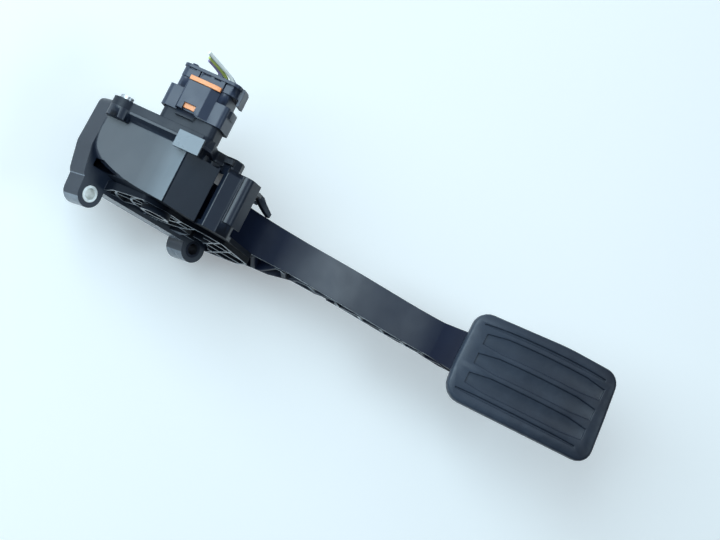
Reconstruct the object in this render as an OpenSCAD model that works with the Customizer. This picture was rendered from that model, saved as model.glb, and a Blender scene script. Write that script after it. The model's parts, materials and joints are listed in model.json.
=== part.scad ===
// Suspended electronic accelerator pedal with its sensor housing and mated harness plug.
// X runs to the driver's right, Y forward into the bulkhead, Z up.
// The mounting face is the plane y = 0 and x = 0 is the middle of the flange.

/* [Mounting flange] */
// Thickness of the mounting flange at its ears
flange_depth = 17; // [12:0.5:22]
// Height of the left flange edge above the origin
flange_top = 52.4; // [50:0.2:56]
// Depth of the flange below the origin
flange_bottom = 50; // [46:1:54]
// Distance from the middle to the straight left flange edge
flange_left = 25.6; // [23:0.2:27]
// Distance from the middle to the straight right flange edge
flange_right = 25; // [22:0.5:28]
// Thickness of the skin and rim walls of the hollow flange
flange_wall = 3; // [2.5:0.1:4]
// Sideways place of the upper left mounting hole
upper_ear_x = -29.5; // [-32:0.5:-28]
// Height of the upper left mounting hole
upper_ear_z = 38.5; // [34:0.5:42]
// Sideways place of the lower left mounting hole
lower_ear_x = -27; // [-29:0.5:-25]
// Height of the lower left mounting hole
lower_ear_z = -40.5; // [-44:0.5:-38]
// Sideways place of the right mounting hole
side_ear_x = 34; // [32:0.5:38]
// Height of the right mounting hole
side_ear_z = 0; // [-10:1:10]
// Radius of the material around each mounting hole
ear_r = 8; // [7.5:0.25:9]
// Outer diameter of the steel mounting bushes
bush_d = 9.8; // [9:0.1:11]
// Bolt hole diameter in the steel mounting bushes
bush_bore = 6.6; // [6.2:0.1:7.2]

/* [Housing body] */
// Left face of the housing body
body_left = -17.5; // [-19:0.25:-16.5]
// Parting plane between housing and sensor cover
parting_x = 21; // [20:0.25:22]
// Forward reach of the housing nose from the mounting face
nose_reach = 57; // [55:0.5:62]
// Wall thickness of the housing body
wall = 3; // [2.4:0.1:3.6]
// Angle of the sloping nose panel and the connector from the vertical in degrees
slope = 50; // [46:0.5:54]
// Distance of the sloping nose panel from the origin
slope_face = 51.5; // [50:0.25:53]
// Distance the flared rim and cover stand above the nose panel
rim_step = 5.5; // [4:0.25:6.5]
// Height of the top edge of the gap above the hood
slot_top = -7; // [-9:0.25:-6]
// Height of the gap above the hood
slot_gap = 3.5; // [2.5:0.25:4.5]
// Step of the hood ridge in front of the nose
hood_step = 9.5; // [7:0.5:12]
// Height of the lower lip of the hood
lip_z = -35.5; // [-38:0.5:-33]
// Step of the hood's lower lip in front of the nose
lip_step = 3; // [1:0.5:5]

/* [Lattice side] */
// Thickness of each stiffening rib on the open side
rib_t = 1.5; // [1.2:0.1:2]
// Rib height above the side wall at the mounting flange
rib_reach_back = 6.5; // [4:0.5:8]
// Rib height above the side wall at the front
rib_reach_front = 2; // [1.5:0.25:4]
// Number of spokes around the pivot boss
spokes = 10; // [6:1:14]

/* [Pivot] */
// Distance of the pivot behind the nose
pivot_depth = 16; // [15:0.5:18]
// Height of the pivot above the origin
pivot_z = 9; // [7:0.5:10]
// Diameter of the steel pivot axle
axle_d = 8; // [7:0.5:9]
// Running clearance around the axle
running_gap = 0.05; // [0.02:0.01:0.08]
// Radius of the pedal hub
hub_r = 10; // [9:0.25:10.5]
// Side clearance between the pedal hub and the housing walls
hub_side_gap = 0.5; // [0.3:0.1:1]
// Full travel of the pedal in degrees
travel = 12; // [9:0.5:13]

/* [Pedal arm] */
// Sideways place of the middle of the arm
arm_x = -2.5; // [-3:0.1:0]
// Width of the arm at the housing
arm_w_top = 23; // [20:0.5:24]
// Width of the arm halfway down
arm_w_mid = 21.3; // [19:0.1:24]
// Width of the arm above the pad
arm_w_low = 22.6; // [20:0.1:25]
// Width of the arm where it meets the pad
arm_w_end = 25.5; // [22:0.5:28]
// Sideways lean of the arm's lower end
arm_lean = -1.1; // [-2:0.1:1]
// Thickness of the arm's front face plate
arm_skin = 2.8; // [2.2:0.1:3.4]
// Depth of the arm at the housing
arm_depth_top = 18; // [15:0.5:19]
// Depth of the arm above the pad
arm_depth_end = 9; // [8:0.5:12]
// Thickness of the arm's middle web and zigzag ribs
arm_rib = 2; // [1.6:0.1:2.6]

/* [Pedal pad] */
// Length of the rubber pad
pad_length = 102; // [95:1:108]
// Width of the rubber pad at its upper end
pad_w_top = 58; // [52:1:62]
// Width of the rubber pad at its lower end
pad_w_bottom = 60; // [54:1:66]
// Sideways offset of the pad's upper end from its lower end
pad_skew = 1.9; // [0:0.1:3]
// Thickness of the rubber pad over its carrier plate
pad_t = 4; // [3:0.25:6]
// Thickness of the pad carrier plate
plate_t = 3; // [2.5:0.25:4]
// Tilt of the pad from the vertical in degrees
pad_tilt = 30.3; // [27:0.1:34]
// Corner radius of the rubber pad
pad_corner = 11; // [9:0.5:14]
// Depth of the sunk tread panels
tread_depth = 1.4; // [0.8:0.1:2]
// Width of the four raised tread ribs
tread_rib = 3; // [2:0.25:4]
// Distance between the middles of neighbouring tread ribs
tread_pitch = 12.9; // [11.5:0.1:13.5]

/* [Sensor cover] */
// Thickness of the cover from parting plane to outer face
cover_t = 5; // [4.5:0.25:6.5]
// Thickness of the cover's outer plate
cover_plate = 2.2; // [1.8:0.1:2.6]
// Outer diameter of the cover screw bosses
boss_d = 14; // [12:0.5:15]
// Diameter of the cover screw shanks
screw_d = 4; // [3.5:0.1:4.5]
// Diameter of the cover screw heads
screw_head_d = 8; // [7:0.25:9]

/* [Connector] */
// Place of the connector's middle down the slope of the nose
plug_u = 25.5; // [24:0.5:28]
// Height of the connector's middle above the origin, square to the slope
plug_n = 46; // [44:0.5:48]
// Length of the plug down the slope
plug_h = 38.5; // [36:0.5:40]
// Depth of the plug square to the slope
plug_d = 23.5; // [21:0.5:25]
// Gap between cover and plug along the connector
plug_standoff = 7; // [5:0.25:8]
// Length of the plug's wide skirt
plug_skirt = 13; // [12:0.5:16]
// Length of the plug down to its rear cap
plug_length = 19.5; // [17:0.5:21]
// Length of the plug's rear cap
cap_length = 7.5; // [6:0.5:9]
// Wall of the socket shroud and plug sleeve
shell = 1.6; // [1.3:0.1:2]
// Clearance between plug sleeve and socket shroud
plug_gap = 0.3; // [0.2:0.05:0.5]
// Travel of the orange position lock
lock_travel = 3; // [2:0.25:3.5]
// Outer diameter of each harness wire
wire_d = 1.9; // [1.6:0.1:2.2]

/* [Hidden] */
$fn = 64;
eps = 0.01;

// Points on an arc from angle a0 to a1
function arc(c, r, a0, a1, n) = [
    for (i = [0 : n]) c + r * [cos(a0 + (a1 - a0) * i / n), sin(a0 + (a1 - a0) * i / n)]
];
function unit(v) = v / norm(v);
function mix(a, b, t) = a + (b - a) * t;
// One rounded corner at b, between a and c, with radius r
function corner(a, b, c, r, n) =
    r <= 0 ? [b] :
    let (
        u = unit(a - b),
        w = unit(c - b),
        half = acos(u * w) / 2,
        centre = b + unit(u + w) * r / sin(half),
        p0 = b + u * r / tan(half) - centre,
        p1 = b + w * r / tan(half) - centre,
        a0 = atan2(p0[1], p0[0]),
        turn = (atan2(p1[1], p1[0]) - a0 + 540) % 360 - 180
    ) arc(centre, r, a0, a0 + turn, n);
// Outline through [u, v, radius] corners
function rounded(p, n = 6) =
    let (k = len(p), flat = [for (q = p) [q[0], q[1]]])
    [for (i = [0 : k - 1]) each corner(flat[(i + k - 1) % k], flat[i], flat[(i + 1) % k], p[i][2], n)];
// Smooth curve through a list of points, with n steps between neighbours
function curve(p, n) = [
    for (i = [0 : len(p) - 2]) for (j = [0 : n - 1])
        let (a = p[max(i - 1, 0)], b = p[i], c = p[i + 1], d = p[min(i + 2, len(p) - 1)], t = j / n)
        0.5 * (2 * b + (c - a) * t + (2 * a - 5 * b + 4 * c - d) * t * t + (3 * b - 3 * c + d - a)
            * t * t * t),
    p[len(p) - 1]
];
// Outline moved inwards by d, corner by corner
function edge_normal(a, b) = let (v = unit(b - a)) [-v[1], v[0]];
function turning(p) = let (k = len(p)) [for (i = [0 : k - 1]) cross(p[i], p[(i + 1) % k])] * [for (q = p) 1];
function inset(p, d) =
    let (k = len(p), s = turning(p) > 0 ? d : -d)
    [for (i = [0 : k - 1])
        let (
            m = edge_normal(p[(i + k - 1) % k], p[i]),
            n = edge_normal(p[i], p[(i + 1) % k])
        ) p[i] + s * (m + n) / (1 + m * n)];

// Solid from a side outline of [y, z] points, between two x planes
module side_slab(outline, x0, x1) translate([x0, 0, 0]) rotate([90, 0,
    90]) linear_extrude(x1 - x0) polygon(outline);
// Solid from a front outline of [x, z] points, between two y planes
module front_slab(outline, y0, y1) translate([0, y1, 0]) rotate([90, 0,
    0]) linear_extrude(y1 - y0) polygon(outline);
// Cylinders along X and along Y
module rod_x(x0, x1, r, at) translate([x0, at[0], at[1]]) rotate([0, 90, 0]) cylinder(h = x1 - x0, r = r);
module rod_y(y0, y1, r, at) translate([at[0], y1, at[1]]) rotate([90, 0, 0]) cylinder(h = y1 - y0, r = r);
module block(low, high) translate(low) cube(high - low);

// The slope frame: u runs down the sloping nose panel, n points out of it
function slope_point(u, n) = [-u * sin(slope) - n * cos(slope), -u * cos(slope) + n * sin(slope)];
function slope_points(p) = [for (q = p) concat(slope_point(q[0], q[1]), len(q) > 2 ? [q[2]] : [])];
module slope_box(x, u, n) rotate([-slope, 0, 0]) block([x[0], -n[1], -u[1]], [x[1], -n[0], -u[0]]);
// Round tube along a path
module sweep(path, r, sides) {
    n = len(path);
    function dir(i) = unit(path[min(i + 1, n - 1)] - path[max(i - 1, 0)]);
    function across(d) = unit(cross(d, abs(d[2]) < 0.8 ? [0, 0, 1] : [0, 1, 0]));
    rings = [
        for (i = [0 : n - 1]) let (d = dir(i), u = across(d), w = cross(d, u))
        for (k = [0 : sides - 1]) path[i] + r * (cos(360 * k / sides) * u + sin(360 * k / sides) * w)
    ];
    polyhedron(points = rings, faces = concat(
        [[for (k = [0 : sides - 1]) k]], [[for (k = [0 : sides - 1]) (n - 1) * sides + sides - 1 - k]],
        [for (i = [0 : n - 2]) for (k = [0 : sides - 1])
            [i * sides + k, (i + 1) * sides + k, i * sides + (k + 1) % sides]],
        [for (i = [0 : n - 2]) for (k = [0 : sides - 1])
            [i * sides + (k + 1) % sides, (i + 1) * sides + k, (i + 1) * sides + (k + 1) % sides]]
    ));
}

ears = [[upper_ear_x, upper_ear_z], [lower_ear_x, lower_ear_z], [side_ear_x, side_ear_z]];
hood_reach = nose_reach + hood_step;
lip_reach = nose_reach + lip_step;
pivot_y = pivot_depth - nose_reach;
pivot = [pivot_y, pivot_z];
cavity_left = body_left + wall;
cavity_right = 14.5;
slot_low = slot_top - slot_gap;
nose_low = [-nose_reach - 0.8, (slope_face - (nose_reach + 0.8) * cos(slope)) / sin(slope)];
nose_high = [-flange_depth, (slope_face - flange_depth * cos(slope)) / sin(slope)];

// Front outline of the flange, without its ears
flange_outline = rounded([
    [flange_right, flange_top - 1, 4], [-4, flange_top, 5], [upper_ear_x + 5, upper_ear_z + ear_r + 1, 8],
    [-flange_left, upper_ear_z - ear_r - 4, 4], [-flange_left, -flange_bottom + 8, 3],
    [-flange_left + 6, -flange_bottom, 6], [flange_right, -flange_bottom, 8]
]);
module ear_web(at, toward) hull() {
    rod_y(-flange_depth, 0, ear_r, at, $fn = 32);
    rod_y(-flange_depth, 0, ear_r, toward, $fn = 32);
}
module flange_pan() {
    difference() {
        union() {
            front_slab(flange_outline, -flange_depth, 0);
            ear_web(ears[0], [-14, upper_ear_z + 1]);
            ear_web(ears[1], [-14, lower_ear_z + 2]);
            ear_web(ears[2], [14, side_ear_z]);
        }
        // hollow back of the flange, left solid round the ears
        difference() {
            front_slab(inset(flange_outline, flange_wall), -flange_depth + flange_wall, 1);
            for (e = ears) rod_y(-flange_depth, 1, ear_r, e);
            // back wall of the housing, and a flush pad at the origin
            block([body_left, -flange_depth - 1, -60], [parting_x - 3.5, -4, 60]);
            rod_y(-flange_depth, 1, 6, [0, 0]);
            for (z = [-30, -12, 6, 24]) block([-40, -flange_depth, z], [40, -1, z + rib_t]);
            for (x = [-20.5, 18.5]) block([x, -flange_depth, -60], [x + rib_t, -1, 60]);
        }
    }
}

// Side outline of the housing body from the flange over the nose to the foot of the guard
body_side = rounded([
    [-flange_depth + 1, nose_high[1], 0], [nose_high[0], nose_high[1], 0], [nose_low[0], nose_low[1], 1],
    [-nose_reach, slot_top, 0.5], [-nose_reach + wall + 1, slot_top, 0], [-nose_reach + wall + 1, slot_low,
        0],
    [-nose_reach - 3, slot_low, 1], [-nose_reach - 5.5, slot_low - 8, 5], [-lip_reach - 3, lip_z + 8, 2.5],
    [-lip_reach + 3, lip_z + 1, 2], [-nose_reach + 16, -63, 2], [-nose_reach + 30, -67, 4],
    [-flange_depth + 1, -56, 3]
]);
// Side outline of the hood with its groove and ridge
hood_side = rounded([
    [-nose_reach + wall + 1, slot_low, 0], [-nose_reach - 3, slot_low, 1.2], [-nose_reach - 3.5,
        slot_low - 8.5, 5],
    [-hood_reach - 1, slot_low - 11, 4.5], [-lip_reach, lip_z, 1], [-nose_reach + 1, lip_z, 0]
]);
// Inner side outline of the hollow, open below
cavity_side = rounded([
    [-7, 45, 2], [-flange_depth - 2, 45.5, 2], [-nose_reach + wall + 0.5, nose_low[1] - 1.5, 3],
    [-nose_reach + wall, slot_top + 0.2, 0], [-nose_reach - 0.5, slot_low - 1.5, 0],
    [-nose_reach - 1, slot_low - 10, 4], [-hood_reach + 3, slot_low - 12.5, 2.5],
    [-lip_reach + 2.4, lip_z - 1, 0], [-lip_reach + 2.4, lip_z - 40, 0], [-7, lip_z - 40, 0]
]);
// Front outline of the nose, with its rounded upper left shoulder
nose_front = concat(
    curve([
        [12, flange_top - 0.3], [4, flange_top - 0.4], [-2.7, 50.8], [-6.4, 48.9], [-9.8, 45.6], [-12.4,
            41.3], [-14.3, 36.5], [-15.8, 30.5],
        [-16.6, 24.1], [body_left, 12], [body_left, -20], [body_left, -90]
    ], 3),
    [[parting_x - 4.5, -90], [parting_x - 4.5, flange_top - 0.3]]
);
module nose_body() {
    difference() {
        intersection() {
            side_slab(body_side, body_left, parting_x - 4.5);
            front_slab(nose_front, -90, 0);
        }
        // the right wall is cut short beside the arm
        block([cavity_right - 1, -80, -80], [parting_x, -flange_depth - 6, -44]);
    }
    side_slab(hood_side, -10, parting_x - 2);
    side_slab([[-nose_reach + 3.6, slot_low - 1], [-nose_reach + 3.6, lip_z + 1], [-45, lip_z + 1], [-45,
        slot_low - 1]], 13.3, parting_x - 2);
}

// Outline of the cover and of the flared rim that carries it
rim_n = slope_face + rim_step;
rim_side = rounded([
    [-flange_depth - 0.6, 48, 2], concat(slope_point(-8, rim_n), [3]), concat(slope_point(40.5, rim_n), [3]),
    [-nose_reach - 7.5, 8.5, 3], [-nose_reach + 2, 1, 3], [-nose_reach + 10, -6, 3], [-nose_reach + 8, -12,
        1],
    [-nose_reach + 2, -15, 1.5], [-nose_reach + 3, -21, 2], [-nose_reach + 9, -27, 3],
    [-flange_depth - 0.6, -27, 2]
]);
rim_foot = rounded([
    [-flange_depth - 0.6, 46, 2], concat(slope_point(-6, slope_face - 2), [3]),
    concat(slope_point(36.5, slope_face - 2), [2]), [-nose_reach - 3.5, 10.5, 2], [-nose_reach + 3, 2.5, 3],
    [-nose_reach + 11, -5, 3], [-nose_reach + 9, -12, 1], [-nose_reach + 4, -15, 1.5], [-nose_reach + 5,
        -20.5, 2],
    [-nose_reach + 10, -25.5, 3], [-flange_depth - 0.6, -25.5, 2]
]);
// Flare between the nose panel and the rim, straight along the slope
module rim_flare() rotate([-slope, 0, 0]) translate([0, 0, -37]) linear_extrude(44) polygon([
    [parting_x - 6.2, 2 - slope_face], [parting_x - 1.6, -rim_n], [parting_x - 1.5, -rim_n],
    [parting_x - 1.5, 2 - slope_face]
]);
boss_spot = [-23.7, 49.3];
cover_screw_spots = [boss_spot, [-23, -21.5], [-22.5, 10]];
sensor_chamber = rounded([
    [-27.5, 42, 2], [-32.5, 41.2, 2], [-nose_reach - 0.2, 19.1, 3], [-nose_reach + 0.4, 12.6, 3],
    [pivot_y - 9, 4.5, 3],
    [pivot_y - 1, -3.5, 3], [pivot_y - 1.5, -20, 3], [pivot_y + 11, -20, 3]
]);
module seal_ring(x0, x1, near, far) difference() {
    side_slab(inset(sensor_chamber, -far), x0, x1);
    side_slab(inset(sensor_chamber, -near), x0 - 1, x1 + 1);
}

// Lattice of stiffening ribs on the open left side
lattice_side = rounded([
    [-flange_depth + 1, 22, 0], [-flange_depth + 1, 32, 3], [-30, 34, 6], [-nose_reach + 9, 24, 4],
    [-nose_reach + 6, 8, 8], [-nose_reach + 9, -6, 8], [-nose_reach + 6, -20, 4], [-nose_reach + 5, -35, 3],
    [-nose_reach + 17, -64.5, 3], [-nose_reach + 29, -66, 3], [-13, -52, 4], [-13, -24, 6]
]);
lattice_x = body_left - rib_reach_back;
// One pocket between two rings about the pivot and two spokes
function pocket(r0, r1, a0, a1) =
    let (
        n = 4,
        h0 = asin(rib_t / 2 / (r0 + rib_t / 2)),
        h1 = asin(rib_t / 2 / (r1 - rib_t / 2))
    ) concat(
        arc(pivot, r0 + rib_t / 2, a0 + h0, a1 - h0, n), arc(pivot, r1 - rib_t / 2, a1 - h1, a0 + h1, n)
    );
// One four-sided pocket between the ribs through its corners
function cell(p) = inset(p, rib_t / 2);
ring_radii = [8.4, 15.5, 25, 38];
lattice_rows = [[-21, -28], [-33, -40], [-45, -52], [-60, -72]];
lattice_columns = [-53, -42, -32, -22.5, -11];
function grid(i, j) = let (t = j / 4) [lattice_columns[j], mix(lattice_rows[i][0], lattice_rows[i][1], t)];
module pockets() {
    for (k = [0 : 2]) for (i = [0 : spokes - 1])
        side_slab(pocket(ring_radii[k], ring_radii[k + 1], 360 * (i + k * 0.5) / spokes,
            360 * (i + 1 + k * 0.5) / spokes), lattice_x - 1, body_left);
}
module lattice_ribs() difference() {
    side_slab(lattice_side, lattice_x, body_left + eps);
    intersection() {
        side_slab(inset(lattice_side, rib_t), lattice_x - 2, body_left + 1);
        difference() {
            pockets();
            block([lattice_x - 3, -70, -80], [body_left + 2, 0, lattice_rows[0][0] - 6]);
        }
    }
    intersection() {
        side_slab(inset(lattice_side, rib_t), lattice_x - 2, body_left + 1);
        for (i = [0 : 2]) for (j = [0 : 3])
            side_slab(cell([grid(i, j), grid(i, j + 1), grid(i + 1, j + 1), grid(i + 1, j)]),
                lattice_x - 1, body_left);
    }
}
// Wedge that trims the rib tops, high at the flange and low at the front
module lattice_trim() translate([0, 0, -80]) linear_extrude(160) polygon([
    [lattice_x - 5, 5], [lattice_x, -12], [body_left - rib_reach_front, -nose_reach], [lattice_x - 5,
        -nose_reach]
]);
// Wall beside the arm on the sensor side, and the guard in front of it that slopes in towards the arm
module cheek() block([parting_x - 5.5, pivot_y - 3, -46], [parting_x - 2.6, -14, -24]);
module guard() front_slab([
    [parting_x - 5.5, -30], [parting_x - 2.6, -30], [parting_x - 2.8, -46.5], [parting_x - 3.8, -50.7],
    [parting_x - 6, -53.5], [parting_x - 10.1, -60.4], [parting_x - 12.7, -60], [parting_x - 10.8, -55.3],
    [parting_x - 8.5, -50.6], [parting_x - 5.5, -45.4]
], pivot_y - 4, pivot_y);

module housing() color([0.10, 0.11, 0.12]) {
    housing_body();
    guard();
}
module housing_body() difference() {
    union() {
        flange_pan();
        nose_body();
        side_slab(rim_foot, parting_x - 6, parting_x - 1.5);
        side_slab(rim_side, parting_x - 1.6, parting_x);
        rim_flare();
        rod_x(parting_x - 6.5, parting_x, boss_d / 2, boss_spot);
        difference() {
            lattice_ribs();
            lattice_trim();
        }
        rod_x(lattice_x, body_left + 1, 9, pivot);
        cheek();
    }
    difference() {
        side_slab(cavity_side, cavity_left, cavity_right);
        // post that carries the upper end of the springs
        translate([0, spring_y, spring_top + 2]) cylinder(h = 12, r = 7);
    }
    // gap above the hood
    block([body_left + 4.5, -nose_reach - 5, slot_low], [cavity_right + 1.5, -nose_reach + 7, slot_top]);
    // room for the arm at full travel
    block([cavity_left, -flange_depth - 8, -flange_bottom - 20], [cavity_right, 5, -flange_bottom + 16]);
    rod_x(lattice_x + 2, parting_x - 2, axle_d / 2 + running_gap, pivot);
    rod_x(lattice_x - 1, lattice_x + 3, 6.2, pivot);
    // dark openings between the front panel and the rim
    for (z = [-5.5, 1]) block([cavity_right + 1, -nose_reach - 2, z], [parting_x - 1.5, -nose_reach + 5,
        z + 5]);
    side_slab(sensor_chamber, parting_x - 2.5, parting_x + 1);
    seal_ring(parting_x - 1.2, parting_x + 1, 1.2, 2.8);
    for (s = cover_screw_spots) rod_x(parting_x - 6, parting_x + 1, screw_d / 2, s);
    for (e = ears) {
        rod_y(-flange_depth - 1, 1, bush_d / 2, e);
        // room for the bolt head
        rod_y(-flange_depth - 12, -flange_depth, 7, e);
    }
}

module bush(at) color([0.72, 0.73, 0.72]) difference() {
    rod_y(-flange_depth, 0, bush_d / 2, at);
    rod_y(-flange_depth - 1, 1, bush_bore / 2, at);
}
module upper_bush() bush(ears[0]);
module lower_bush() bush(ears[1]);
module side_bush() bush(ears[2]);

cover_face = parting_x + cover_t;
clip_t = 2.2;
module sensor_cover() color([0.12, 0.13, 0.14]) difference() {
    union() {
        side_slab(rim_side, parting_x, cover_face);
        rod_x(parting_x, cover_face, boss_d / 2, boss_spot);
        // snap tab over the nose, snap block over the rim, and bar for the plug's catch
        slope_box([13.3, parting_x + 2.4], [24.8, 41], [rim_n + 0.3, rim_n + 0.3 + clip_t]);
        slope_box([parting_x + 0.3, parting_x + 2.4], [24.8, 40], [rim_n - 3, rim_n + 0.3 + clip_t]);
        slope_box([parting_x + 0.4, cover_face - 1.5], [46, 51.5], [16, 27]);
        slope_box([cover_face + 4.4, cover_face + 7.6], [plug_u - 8.2, plug_u + 2.8],
            [plug_n + inner_d / 2 + 0.4, rim_n + 1.6]);
        socket();
    }
    side_slab(sensor_chamber, parting_x - 1, cover_face - cover_plate);
    for (s = cover_screw_spots) rod_x(parting_x - 1, cover_face + 3, screw_d / 2 + 0.3, s);
    tilted() for (k = [0 : 5]) pin(k, 0.45, parting_x, cover_face + 1);
}
// The connector stands on the cover, turned to the slope of the nose
plug_spot = slope_point(plug_u, plug_n);
module tilted() translate([0, plug_spot[0], plug_spot[1]]) rotate([-slope, 0, 0]) children();
function oblong(d, h, r) = rounded([[-d / 2, -h / 2, r], [d / 2, -h / 2, r], [d / 2, h / 2, r], [-d / 2,
    h / 2, r]], 4);
sleeve = shell + plug_gap;
inner_d = plug_d - 2 * sleeve - 2 * shell;
inner_h = plug_h - 2 * sleeve - 2 * shell;
plug_x = cover_face + plug_standoff;
plug_end = plug_x + plug_length;
cap_end = plug_end + cap_length;
socket_end = plug_x + 10.5;
module socket() tilted() difference() {
    side_slab(oblong(plug_d - 2 * sleeve, plug_h - 2 * sleeve, 4), cover_face - eps, socket_end);
    side_slab(oblong(inner_d, inner_h, 2.6), cover_face, socket_end + 1);
}
pin_pitch = 5;
module pin(k, half, x0, x1) {
    y = pin_pitch * (floor(k / 3) - 0.5);
    z = pin_pitch * (k % 3 - 1);
    block([x0, y - half, z - half], [x1, y + half, z + half]);
}

module cover_seal() color([0.25, 0.27, 0.30]) seal_ring(parting_x - 1.1, parting_x - 0.02, 1.3, 2.7);
module cover_screws() color([0.75, 0.76, 0.78]) for (s = cover_screw_spots) {
    rod_x(parting_x - 5.5, cover_face + 1, screw_d / 2 - 0.1, s);
    difference() {
        rod_x(cover_face, cover_face + 2.4, screw_head_d / 2, s);
        translate([cover_face + 1, s[0], s[1]]) rotate([0, 90, 0]) cylinder(h = 3, r = 1.7, $fn = 6);
    }
}
board_x = parting_x - 0.3;
module circuit_board() color([0.10, 0.32, 0.18]) difference() {
    side_slab(inset(sensor_chamber, 0.8), board_x, board_x + 1.6);
    tilted() for (k = [0 : 5]) pin(k, 0.4, board_x - 1, board_x + 3);
}
module terminal_pins() color([0.78, 0.72, 0.50]) tilted() for (k = [0 : 5]) pin(k, 0.32, board_x - 0.4,
    cover_face + 13);
magnet_x = parting_x - 2.2;
module pivot_axle() color([0.70, 0.71, 0.72]) rod_x(lattice_x + 1, magnet_x, axle_d / 2, pivot);
module axle_clip() color([0.55, 0.56, 0.58]) difference() {
    rod_x(lattice_x + 1.6, lattice_x + 2.8, 5.6, pivot);
    rod_x(lattice_x, lattice_x + 4, axle_d / 2, pivot);
}
module sensor_magnet() color([0.35, 0.35, 0.37]) rod_x(magnet_x, parting_x - 0.6, 5, pivot);

// Front face of the arm as [y, z] points from the hub to the pad
arm_face = curve([
    for (q = [
        [-5, -19], [-1.5, -39], [2.4, -59], [4.2, -78], [-2.5, -107], [-9, -137], [-12.2, -165],
        [-15.5, -190], [-21.5, -210], [-32.5, -227]
    ]) pivot + q
], 3);
arm_stations = len(arm_face) - 1;
function behind(i) =
    let (t = unit(arm_face[min(i + 1, arm_stations)] - arm_face[max(i - 1, 0)])) [-t[1], t[0]];
function arm_depth(i) = mix(arm_depth_top, arm_depth_end, max(0, i / arm_stations - 0.25) / 0.75);
function arm_at(i, d) = arm_face[i] + behind(i) * d;
function arm_band(near, back) = concat(
    [for (i = [0 : arm_stations]) arm_at(i, near >= 0 ? near : arm_depth(i) + near)],
    [for (i = [arm_stations : -1 : 0]) arm_at(i, back > 0 ? back : arm_depth(i) + back)]
);
// Height, sideways shift and width of the arm along its length
arm_middle = [
    [-8, 0, arm_w_top], [-65, 0, arm_w_top], [-95, 0, arm_w_mid],
    [-140, arm_lean / 2, mix(arm_w_mid, arm_w_low, 0.7)], [-185, arm_lean, arm_w_low],
    [-200, arm_lean, arm_w_low], [-213, arm_lean, arm_w_end], [-230, arm_lean, arm_w_end]
];
arm_right = [for (q = arm_middle) [arm_x + q[1] + q[2] / 2, q[0]]];
arm_left = [for (q = arm_middle) [arm_x + q[1] - q[2] / 2, q[0]]];
function turned(p) = [for (i = [len(p) - 1 : -1 : 0]) p[i]];
arm_front = concat(arm_left, turned(arm_right));
// The back flange stands out further on the left, most of all just below the housing
arm_flare = 6.3;
arm_back = concat([
    arm_left[0], [arm_left[1][0], -69], [arm_left[1][0] - arm_flare, -70],
    [arm_left[1][0] - arm_flare + 0.6, -75], [arm_left[2][0] - arm_flare * 0.8, -90],
    [arm_left[2][0] - arm_flare * 0.25, -104]
], [for (i = [3 : len(arm_left) - 1]) arm_left[i] - [0.6, 0]], turned(arm_right));
module strut(a, b, x0, x1) {
    v = unit(b - a);
    s = [-v[1], v[0]] * arm_rib / 2;
    side_slab([a - v + s, a - v - s, b + v - s, b + v + s], x0, x1);
}
module arm_zigzag() for (i = [1 : 2 : arm_stations - 2]) {
    strut(arm_at(i, arm_skin), arm_at(i + 1, arm_depth(i + 1) - 1), arm_x - 20, arm_x + 9);
    strut(arm_at(i + 1, arm_depth(i + 1) - 1), arm_at(i + 2, arm_skin), arm_x - 20, arm_x + 9);
}
module pedal_arm() color([0.11, 0.12, 0.14]) difference() {
    union() {
        intersection() {
            union() {
                side_slab(arm_band(0, arm_skin), -30, 30);
                side_slab(arm_band(0, 0), arm_x - arm_rib / 2, arm_x + arm_rib / 2);
            }
            front_slab(arm_front, -120, 10);
        }
        difference() {
            intersection() {
                union() {
                    side_slab(arm_band(-arm_rib, 0), -30, arm_x + 8);
                    arm_zigzag();
                }
                front_slab(arm_back, -120, 10);
            }
            // the ribs slope from the face plate out to the back flange
            translate([0, 0, -130]) linear_extrude(70) polygon([
                [-40, pivot_y - 20], [arm_left[1][0], pivot_y - 20], [arm_left[1][0], pivot_y + 6],
                [arm_left[1][0] - arm_flare, pivot_y + 16], [-40, pivot_y + 16]
            ]);
        }
        rod_x(cavity_left + hub_side_gap, cavity_right - hub_side_gap, hub_r, pivot);
        side_slab([
            [pivot_y - hub_r + 0.6, pivot_z], arm_at(0, 0), arm_at(1, 0), arm_at(1, arm_depth(1)),
            arm_at(0, arm_depth(0)), [pivot_y + hub_r - 0.6, pivot_z]
        ], arm_x - arm_w_top / 2, arm_x + arm_w_top / 2);
        side_slab([
            [pivot_y + 4, pivot_z - 8], [spring_y + 9, pivot_z + 1], [spring_y + 9, seat_z - 2.6],
            [spring_y - 9, seat_z - 2.6], [pivot_y + 4, pivot_z + 8]
        ], -9, 9);
        footplate();
    }
    rod_x(cavity_left - 1, cavity_right + 1, axle_d / 2, pivot);
}
// Pad frame: X across, Y down the pad, negative Z towards the driver
pad_origin = [-2.4, pivot_y - 35.7, pivot_z - 217.5];
module in_pad_frame() translate(pad_origin) rotate([-90 - pad_tilt, 0, 0]) children();
pad_shape = rounded([
    [-pad_w_top / 2 - pad_skew, 2, pad_corner + 1], [-10, 0.3, 100],
    [pad_w_top / 2 - pad_skew - 0.3, 0.4, pad_corner - 1], [pad_w_bottom / 2 + 1, pad_length * 0.6, 200],
    [pad_w_bottom / 2, pad_length - 4.5, pad_corner - 1], [0, pad_length - 1.6, 200],
    [-pad_w_bottom / 2, pad_length + 0.6, pad_corner - 2], [-pad_w_bottom / 2 + 0.4, pad_length / 2, 200]
]);
function pad_outline(d) = inset(pad_shape, d);
module footplate() in_pad_frame() {
    translate([0, 0, pad_t]) linear_extrude(plate_t) polygon(pad_outline(2.5));
    for (x = [-10, 0, 10]) block([x - 1, 4, pad_t + plate_t - eps], [x + 1, 72, pad_t + plate_t + 3.5]);
    for (y = [18, 36, 54]) block([-22, y, pad_t + plate_t - eps], [22, y + 2, pad_t + plate_t + 2.5]);
}
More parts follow.
